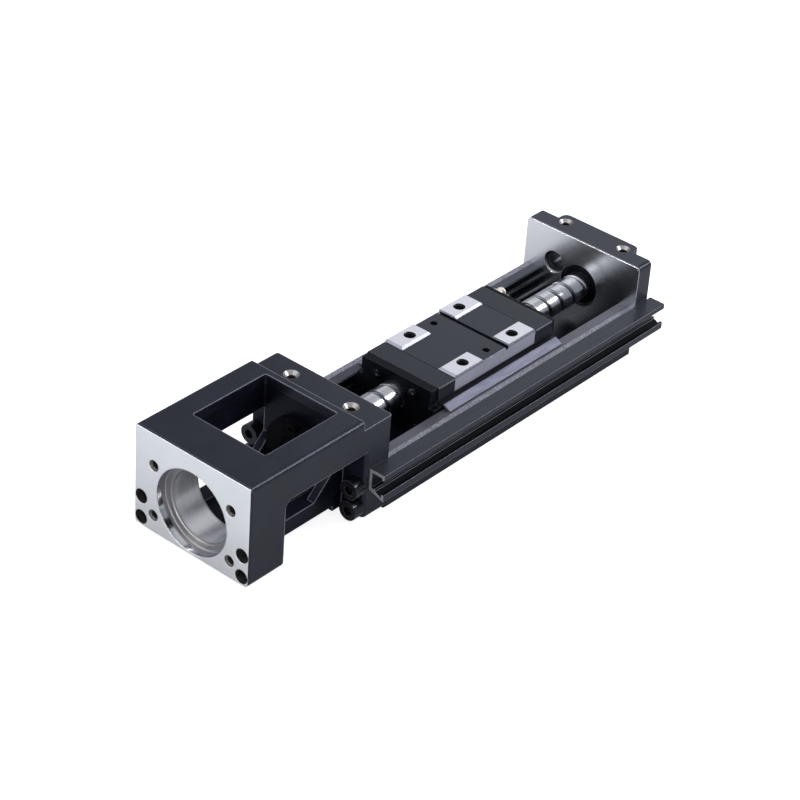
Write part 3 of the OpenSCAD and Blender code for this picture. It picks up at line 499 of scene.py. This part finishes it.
def rail_material():
    """Ground band on top with painted shade on its left half, ball races inside in painted light
    and shade, and a textured outer top.
    """
    k = Skin("rail_steel", 0.3 * MM)
    top = RAIL_HIGH.z
    band = k.above(k.z, top - BAND_DEPTH)
    k.ground(band, (1, 0.03, 1), rgb(0.115, 0.115, 0.13), 0.35, 0.34, 0.12)
    # Painted shade: the band's left half darker than the right
    k.lay(k.all_of(band, k.below(k.x, 0.0)), rgb(0.045, 0.047, 0.057), 0.2, 0.34)
    lines = k.noise(k.where, 900, 2, (1, 0.03, 1))
    for drop, painted_tone in RACES:
        race = k.below(k.distance(k.aside, k.z, (RACE_X, top - drop)), RACE_REACH)
        color = k.tones(lines, rgb(painted_tone, painted_tone, painted_tone), rgb(1.3 * painted_tone, 1.3 * painted_tone, 1.4 * painted_tone))
        k.lay(race, color, 1.0, 0.28)
    sparkle = k.speckle()
    textured = k.all_of(k.between(k.z, top - 0.8 * MM, top - BAND_DEPTH),
                        k.below(k.aside, RAIL_HIGH.x - 1.6 * MM))
    color = k.tones(sparkle, rgb(0.12, 0.12, 0.14), rgb(0.48, 0.48, 0.54), SPECKS)
    k.lay(textured, color, 0.3, k.vary(sparkle, 0.35, 0.55), sparkle)
    return k.done()


def sensor_rail_material():
    """Drawn section with a slot darkened by painted shade, in which painted highlights mark the
    rib and its foot.
    """
    k = Skin("sensor_rail_black", 0.3 * MM, COATED, 0.9)
    left, right = SENSOR_LOW.x, SENSOR_HIGH.x
    slot = k.all_of(k.between(k.x, left + SHEET + 0.02 * MM, right - 0.25 * MM),
                    k.between(k.z, SENSOR_LOW.z + SENSOR_LIP, SENSOR_HIGH.z - SENSOR_LIP))
    # Painted shade in the slot
    k.lay(slot, rgb(0.003, 0.003, 0.0035), 0.0, 0.4)
    rib_x0 = left + 2 * SHEET
    rib_x1 = rib_x0 + SENSOR_RIB
    rib_z = SENSOR_HIGH.z - SENSOR_RIB_DOWN
    rib = k.all_of(k.between(k.x, rib_x0 - 0.1 * MM, rib_x1 + 0.1 * MM),
                   k.between(k.z, rib_z - 0.15 * MM, rib_z + 0.2 * MM))
    foot = k.all_of(k.between(k.x, rib_x1 + 0.05 * MM, rib_x1 + 0.4 * MM),
                    k.between(k.z, rib_z - 1.4 * MM, rib_z - 0.7 * MM))
    # Painted highlights on the rib and its foot
    k.lay(k.any_of(rib, foot), rgb(0.11, 0.115, 0.135), 0.2, 0.35)
    k.dull(slot, 0.08)
    lines = k.noise(k.where, 1400, 2, (1, 0.02, 1))
    k.rough = k.plus(k.rough, k.vary(lines, -0.05, 0.05))
    ends = (k.below(k.y, SENSOR_LOW.y + SAWN_END), k.above(k.y, SENSOR_HIGH.y - SAWN_END))
    for end in ends:
        k.ground(end, (1, 1, 0.2), rgb(0.35, 0.35, 0.37), 0.5, 0.4, 0.2)
    return k.done()


paint(rail_material(), "rail")
paint(sensor_rail_material(), "sensor_rail")


# ---------------------------------------------------------------- carriage

TROUGH = 21 * MM               # half the inner width of the rail
BLOCK_TOP = TROUGH - 2.3 * MM  # half the width of the block's top
PAD_HEIGHT = 1 * MM
TABLE_HOLE_X = 14 * MM
TABLE_HOLE_IN = 9.8 * MM       # from the block's front
TABLE_HOLE_PITCH = 31.5 * MM
TABLE_SINK = 2.6 * MM          # radius of the countersink
M5_PITCH = 0.8 * MM


def block_material():
    """Black block with ground sides, bright pads, speckled bevels and four tapped holes."""
    k = Skin("carriage_steel", 0.16 * MM, COATED, 0.5, 0.34)
    pad = BLOCK_HIGH.z - THIN_FILM
    pad_side = k.between(k.z, BLOCK_HIGH.z - PAD_HEIGHT + 0.02 * MM, pad)
    side = k.all_of(k.above(k.aside, BLOCK_TOP - 0.45 * MM),
                    k.above(k.z, RAIL_HIGH.z + 3.35 * MM))
    k.ground(k.any_of(pad_side, side), (1, 0.4, 1), rgb(0.52, 0.52, 0.60), 0.35, 0.42, 0.3)
    k.ground(k.above(k.z, pad), (1, 0.05, 1), rgb(0.70, 0.70, 0.735), 0.45, 0.45, 0.03)
    bevel = k.all_of(k.above(k.aside, BLOCK_TOP - 0.6 * MM),
                     k.between(k.z, BLOCK_HIGH.z - PAD_HEIGHT - 0.45 * MM, pad))
    color = k.tones(k.speckle(), rgb(0.17, 0.17, 0.20), rgb(0.34, 0.34, 0.39), SPECKS)
    k.lay(bevel, color, 0.1, 0.75)
    first = BLOCK_LOW.y + TABLE_HOLE_IN
    spots = [(side * TABLE_HOLE_X, y) for side in BOTH for y in (first, first + TABLE_HOLE_PITCH)]
    hole = k.all_of(k.below(k.nearest(k.x, k.y, spots), TABLE_SINK + 0.02 * MM),
                    k.below(k.z, pad))
    # Painted light and shade on the thread's turns
    k.thread(hole, k.z, M5_PITCH, rgb(0.015, 0.015, 0.018), rgb(0.20, 0.20, 0.22), (-0.4, 0.8))
    return k.done()


def moulded(name, base, rough, grain, edge_light, specular=0.4):
    """Plastic or rubber with a fine grain."""
    k = Skin(name, 0.25 * MM, base, edge_light, rough, specular)
    k.height = k.math("MAXIMUM", k.height, k.noise(k.where, grain, 3))
    return k


def cap_material(node):
    """Moulded end cap. Its flanks stand in the rail's shadow and mirror little."""
    k = moulded("cap_plastic_" + node, rgb(0.0075, 0.008, 0.012), 0.38, 2200, 0.35)
    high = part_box(node)[1]
    flank = k.all_of(k.above(k.aside, high.x - 0.35 * MM), k.below(k.z, high.z - 0.3 * MM))
    k.dull(flank, 0.1)
    return k.done()


def rubber_material(node):
    return moulded("rubber_" + node, rgb(0.0045, 0.0047, 0.0065), 0.5, 1500, 0.2, 0.1).done()


def side_seal_material():
    """Dark plastic strips, pale and drawn along Y where they rest on the rail's top."""
    k = Skin("side_seal_plastic", 0.2 * MM, rgb(0.012, 0.012, 0.016), 0.2, 0.45)
    lines = k.noise(k.where, 700, 3, (1, 0.15, 1))
    pale = k.tones(lines, rgb(0.20, 0.20, 0.27), rgb(0.30, 0.30, 0.38))
    # Painted highlight on the pale strips' edges
    pale = k.mix(k.times(k.edges, 0.5), pale, rgb(0.45, 0.45, 0.55))
    outer = k.above(k.aside, TROUGH - 0.34 * MM)
    k.lay(outer, pale, 0.1, 0.42, lines)
    return k.done()


paint(block_material(), "carriage_block")
for name in ("front_end_cap", "rear_end_cap"):
    paint(cap_material(name), name)
for name in ("front_seal", "rear_seal", "support_bearing_seal"):
    paint(rubber_material(name), name)
paint(side_seal_material(), "side_seals")


# ---------------------------------------------------------------- bearings, screws and small parts

def bare_steel(name, base, rough):
    """Bare metal with fine marks."""
    k = Material(name)
    marks = k.noise(k.where, 1500, 2)
    color = k.tones(marks, shade(base, 0.93), base)
    normal = k.bump(marks, 0.006 * MM, 0.3, k.rounded(0.12 * MM))
    k.surface(color, 1.0, k.vary(marks, rough * 0.7, rough * 1.4), normal)
    return k.made


def black_steel(name, base, rough, specular, edge_light):
    return Skin(name, 0.2 * MM, base, edge_light, rough, specular).done()


paint(bare_steel("bearing_steel", rgb(0.30, 0.30, 0.32), 0.3),
      "fixed_bearing_outer_rings", "fixed_bearing_inner_rings",
      "support_bearing_outer_ring", "support_bearing_inner_ring")
paint(bare_steel("ball_steel", rgb(0.6, 0.61, 0.63), 0.1),
      "fixed_bearing_balls", "support_bearing_balls", "nut_balls", "rail_balls")
paint(bare_steel("zinc_screws", rgb(0.24, 0.24, 0.26), 0.16), "cap_screws", "sensor_rail_screws")
paint(bare_steel("nipple_steel", rgb(0.90, 0.83, 0.75), 0.45), "grease_nipple")
paint(black_steel("black_screws", rgb(0.006, 0.006, 0.007), 0.18, 0.4, 0.3),
      "housing_screws", "end_plate_screws")
paint(black_steel("black_steel", rgb(0.003, 0.003, 0.0035), 0.45, 0.03, 0.04),
      "bearing_cover", "bearing_cover_screws", "lock_nut", "retaining_ring")


# ---------------------------------------------------------------- ball screw, in millimetres

LEAD = 8.0
SCREW_RADIUS = 6.0
BALL_CIRCLE = 6.1           # radius of the circle of ball centres
GROOVE_RADIUS = 1.15
JOURNAL_RADIUS = 4.0
SHAFT_RADIUS = 3.0
SHAFT_LENGTH = 16.0
THREAD_Y0 = HOUSING_HIGH.y / MM - 3.4
THREAD_Y1 = PLATE_LOW.y / MM + 1.2
GROOVE_Y = RAIL_LOW.y / MM + 1.65  # a station at which the groove faces up
GROOVE_IN = (2.2, 3.2)      # where it fades out, from the thread's front and rear
CLIP_GROOVE = (2.24, 1.36)  # its two sides, from the screw's rear end
CLIP_DEPTH = 0.5
SHAFT_BEVEL = 0.8
JOURNAL_BEVEL = 0.3
RIM_BEVEL = 0.4
TURN = 96                   # steps to a turn
ACROSS = 8                  # steps across the groove
WELD = 1e-6                 # reach in metres within which points become one
SHARP = math.radians(35)    # edges above this angle stay sharp


class Shell:
    """Points and faces gathered for one mesh, with places in millimetres."""

    def __init__(self):
        self.points = []
        self.faces = []

    def around(self, radius, y, step):
        """Adds the point at a radius and station, `step` steps round the screw's axis."""
        spin = 2 * math.pi * step / TURN
        self.points.append((radius * math.sin(spin) * MM, y * MM, radius * math.cos(spin) * MM))
        return len(self.points) - 1

    def turned(self, profile):
        """Revolves stations and radii about the screw's axis. A radius of 0 closes the end."""
        rings = []
        for y, radius in profile:
            count = TURN if radius else 1
            rings.append([self.around(radius, y, step) for step in range(count)])
        for a, b in zip(rings, rings[1:]):
            for k in range(TURN):
                n = (k + 1) % TURN
                quad = (a[k % len(a)], a[n % len(a)], b[n % len(b)], b[k % len(b)])
                corners = [v for i, v in enumerate(quad) if v not in quad[:i]]
                if len(corners) > 2:
                    self.faces.append(corners)

    def made(self, name):
        """Welds the shell into an object that is smooth between its sharp edges."""
        mesh = bpy.data.meshes.new(name)
        mesh.from_pydata(self.points, [], self.faces)
        b = bmesh.new()
        b.from_mesh(mesh)
        bmesh.ops.remove_doubles(b, verts=b.verts, dist=WELD)
        bmesh.ops.recalc_face_normals(b, faces=b.faces)
        b.to_mesh(mesh)
        b.free()
        for face in mesh.polygons:
            face.use_smooth = True
        mesh.set_sharp_from_angle(angle=SHARP)
        o = bpy.data.objects.new(name, mesh)
        bpy.context.collection.objects.link(o)
        return o


def groove_rows(s, first, last):
    """Adds rows of points across the right-handed groove, which fades out at both ends."""
    reach = math.acos((BALL_CIRCLE - SCREW_RADIUS) / GROOVE_RADIUS)
    rows = []
    for step in range(first, last + 1):
        fade = min(1, 2 * (step - first) / TURN, 2 * (last - step) / TURN)
        row = []
        for j in range(ACROSS + 1):
            a = reach * (2 * j / ACROSS - 1)
            sink = fade * (SCREW_RADIUS - BALL_CIRCLE + GROOVE_RADIUS * math.cos(a))
            y = GROOVE_Y + step * LEAD / TURN + GROOVE_RADIUS * math.sin(a)
            row.append(s.around(SCREW_RADIUS - sink, y, step))
        rows.append(row)
    return rows


def close_land(s, rows, y, base, direction):
    """Fills the land between a ring at y and the groove's first turn. The rows lead away from
    the ring, and each begins at its own edge towards the ring."""
    ring = [s.around(SCREW_RADIUS, y, base + direction * k) for k in range(TURN)]
    for k in range(TURN - 1):
        s.faces.append((ring[k], ring[k + 1], rows[k + 1][0], rows[k][0]))
    s.faces.append((rows[TURN][0], rows[TURN - 1][0], ring[-1], ring[0], *rows[0]))


def thread_shell(s):
    """The threaded length: the groove, the land between its turns and the land at both ends."""
    first = math.ceil((THREAD_Y0 + GROOVE_IN[0] - GROOVE_Y) / LEAD * TURN)
    last = math.floor((THREAD_Y1 - GROOVE_IN[1] - GROOVE_Y) / LEAD * TURN)
    rows = groove_rows(s, first, last)
    for a, b in zip(rows, rows[1:]):
        for j in range(ACROSS):
            s.faces.append((a[j], a[j + 1], b[j + 1], b[j]))
    for i in range(last - first - TURN):
        after = i + TURN
        s.faces.append((rows[i][-1], rows[after][0], rows[after + 1][0], rows[i + 1][-1]))
    close_land(s, rows, THREAD_Y0 + RIM_BEVEL, first, 1)
    close_land(s, [row[::-1] for row in rows[::-1]], THREAD_Y1 - RIM_BEVEL, last, -1)


def screw_ends(s):
    """The shaft for the coupling, both journals and the retaining ring's groove."""
    front = SCREW_LOW.y / MM
    rear = SCREW_HIGH.y / MM
    journal = front + SHAFT_LENGTH
    s.turned([(front, 0), (front, SHAFT_RADIUS - SHAFT_BEVEL), (front + SHAFT_BEVEL, SHAFT_RADIUS),
              (journal, SHAFT_RADIUS), (journal, JOURNAL_RADIUS - JOURNAL_BEVEL),
              (journal + JOURNAL_BEVEL, JOURNAL_RADIUS), (THREAD_Y0, JOURNAL_RADIUS),
              (THREAD_Y0, SCREW_RADIUS - RIM_BEVEL), (THREAD_Y0 + RIM_BEVEL, SCREW_RADIUS)])
    clip_y0 = rear - CLIP_GROOVE[0]
    clip_y1 = rear - CLIP_GROOVE[1]
    s.turned([(THREAD_Y1 - RIM_BEVEL, SCREW_RADIUS), (THREAD_Y1, SCREW_RADIUS - RIM_BEVEL),
              (THREAD_Y1, JOURNAL_RADIUS), (clip_y0, JOURNAL_RADIUS),
              (clip_y0, JOURNAL_RADIUS - CLIP_DEPTH), (clip_y1, JOURNAL_RADIUS - CLIP_DEPTH),
              (clip_y1, JOURNAL_RADIUS), (rear - JOURNAL_BEVEL, JOURNAL_RADIUS),
              (rear, JOURNAL_RADIUS - JOURNAL_BEVEL), (rear, 0)])


def screw_material():
    """Ground lands with fine rings and faint smears, and a duller groove darkened by painted
    shade.
    """
    k = Material("ground_screw")
    rings = k.noise(k.where, 1300, 2, (0.05, 1, 0.05))
    smear = k.noise(k.where, 160, 3)
    color = k.tones(rings, rgb(0.48, 0.485, 0.50), rgb(0.55, 0.555, 0.57))
    color = k.mix(k.ramp(smear, 0.45, 0.75, 0.0, 0.2), color, rgb(0.36, 0.365, 0.40))
    # Painted shade deep in the groove
    sunk = k.ramp(k.distance(k.x, k.z), (SCREW_RADIUS - 0.45) * MM, (SCREW_RADIUS - 0.85) * MM)
    groove = k.all_of(sunk, k.between(k.y, HOUSING_HIGH.y - 2 * MM, PLATE_LOW.y + 2 * MM))
    color = k.mix(groove, color, rgb(0.10, 0.10, 0.11))
    rough = k.blend(groove, k.vary(rings, 0.22, 0.26), 0.36)
    k.surface(color, 1.0, rough, k.bump(rings, 0.002 * MM, 0.2))
    return k.made


def ball_screw():
    s = Shell()
    thread_shell(s)
    screw_ends(s)
    o = s.made("ground_ball_screw")
    o.data.materials.append(screw_material())
    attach(o, "screw")
    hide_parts("ball_screw")


ball_screw()


# ---------------------------------------------------------------- studio

CENTRE = (0.0, 0.12, 0.0)
FLOOR_HALF = 3.0
FLOOR_GAP = 0.2 * MM
CAMERA_GLOW = 0.86  # lifts the floor to white for the camera alone


def pale_floor():
    """A pale floor under the part, on which a faint shadow shows."""
    size = FLOOR_HALF
    z = cad_box[0][2] - FLOOR_GAP
    corners = [(-size, -size, z), (size, -size, z), (size, size, z), (-size, size, z)]
    mesh = bpy.data.meshes.new("studio_floor")
    mesh.from_pydata(corners, [], [(0, 1, 2, 3)])
    floor = bpy.data.objects.new("studio_floor", mesh)
    bpy.context.collection.objects.link(floor)
    k = Material("studio_floor")
    diffuse = k.node("BsdfDiffuse")
    grain = k.noise(k.where, 40, 3)
    k.put(k.mix(grain, rgb(0.62, 0.62, 0.63), rgb(0.66, 0.66, 0.67)), diffuse.inputs["Color"])
    glow = k.node("Emission")
    glow.inputs["Color"].default_value = rgb(1, 1, 1)
    seen = k.node("LightPath").outputs["Is Camera Ray"]
    k.put(k.times(seen, CAMERA_GLOW), glow.inputs["Strength"])
    add = k.node("AddShader")
    k.put(diffuse.outputs[0], add.inputs[0])
    k.put(glow.outputs[0], add.inputs[1])
    k.put(add.outputs[0], k.node("OutputMaterial").inputs["Surface"])
    floor.data.materials.append(k.made)


def world():
    """Light that grows from a bluish horizon to a white zenith, and white for the camera."""
    made = bpy.data.worlds.new("studio")
    bpy.context.scene.world = made
    k = Tree(made)
    split = k.node("SeparateXYZ")
    k.put(k.node("TexCoord").outputs["Generated"], split.inputs[0])
    up = k.ramp(split.outputs[2], 0.45, 0.95)
    soft = k.mix(up, rgb(0.45, 0.475, 0.54), rgb(0.98, 1.0, 1.06))
    seen = k.node("LightPath").outputs["Is Camera Ray"]
    background = k.node("Background")
    k.put(k.mix(seen, soft, rgb(1, 1, 1)), background.inputs["Color"])
    k.put(k.blend(seen, 0.85, 1.0), background.inputs["Strength"])
    k.put(background.outputs[0], k.node("OutputWorld").inputs["Surface"])


def lamp(name, place, aim, size, power):
    data = bpy.data.lights.new(name, "AREA")
    data.shape = "RECTANGLE"
    data.size, data.size_y = size
    data.energy = power
    o = bpy.data.objects.new(name, data)
    bpy.context.collection.objects.link(o)
    o.location = place
    o.rotation_euler = (Vector(aim) - Vector(place)).to_track_quat("-Z", "Y").to_euler()


pale_floor()
world()
# Name, place, what it aims at, width and height in metres, and watts
lamp("key", (-0.60, -0.45, 0.95), CENTRE, (1.5, 1.1), 4.5)
lamp("front", (-0.1, -0.7, 0.05), (-0.1, 0.0, 0.0), (1.0, 0.12), 4.2)
lamp("back_right", (0.75, 1.0, 0.72), CENTRE, (0.45, 0.25), 8)
lamp("back_left", (-0.18, 0.47, 0.21), (0.0, 0.22, 0.02), (0.25, 0.2), 0.1)


# ---------------------------------------------------------------- camera

AZIMUTH, ELEVATION, ROLL = map(math.radians, (38.54, 33.82, 4.27))
FOCAL = 3.4063     # in image widths
CHIP_WIDTH = 36    # in millimetres
# The lower edge of the motor face's middle, seen from the camera: right, down and ahead
EDGE_SEEN = (-79.0 * MM, 58.38 * MM, 1026.5 * MM)


def camera():
    """The photograph's view, by its fitted angles and the place of the motor face's edge."""
    back = Vector((math.sin(AZIMUTH) * math.cos(ELEVATION),
                   -math.cos(AZIMUTH) * math.cos(ELEVATION),
                   math.sin(ELEVATION)))
    level = (-back).cross(Vector((0, 0, 1))).normalized()
    plumb = (-back).cross(level)
    right = level * math.cos(ROLL) - plumb * math.sin(ROLL)
    down = level * math.sin(ROLL) + plumb * math.cos(ROLL)
    seen_right, seen_down, seen_ahead = EDGE_SEEN
    edge = Vector((0, 0, HOUSING_LOW.z))
    place = edge - seen_right * right - seen_down * down + seen_ahead * back
    data = bpy.data.cameras.new("camera")
    data.sensor_width = CHIP_WIDTH
    data.lens = FOCAL * CHIP_WIDTH
    data.clip_start = 0.01
    o = bpy.data.objects.new("camera", data)
    bpy.context.collection.objects.link(o)
    turn = Matrix((right, -down, back)).transposed().to_4x4()
    o.matrix_world = Matrix.Translation(place) @ turn
    bpy.context.scene.camera = o


camera()
bpy.context.scene.view_settings.view_transform = "Standard"
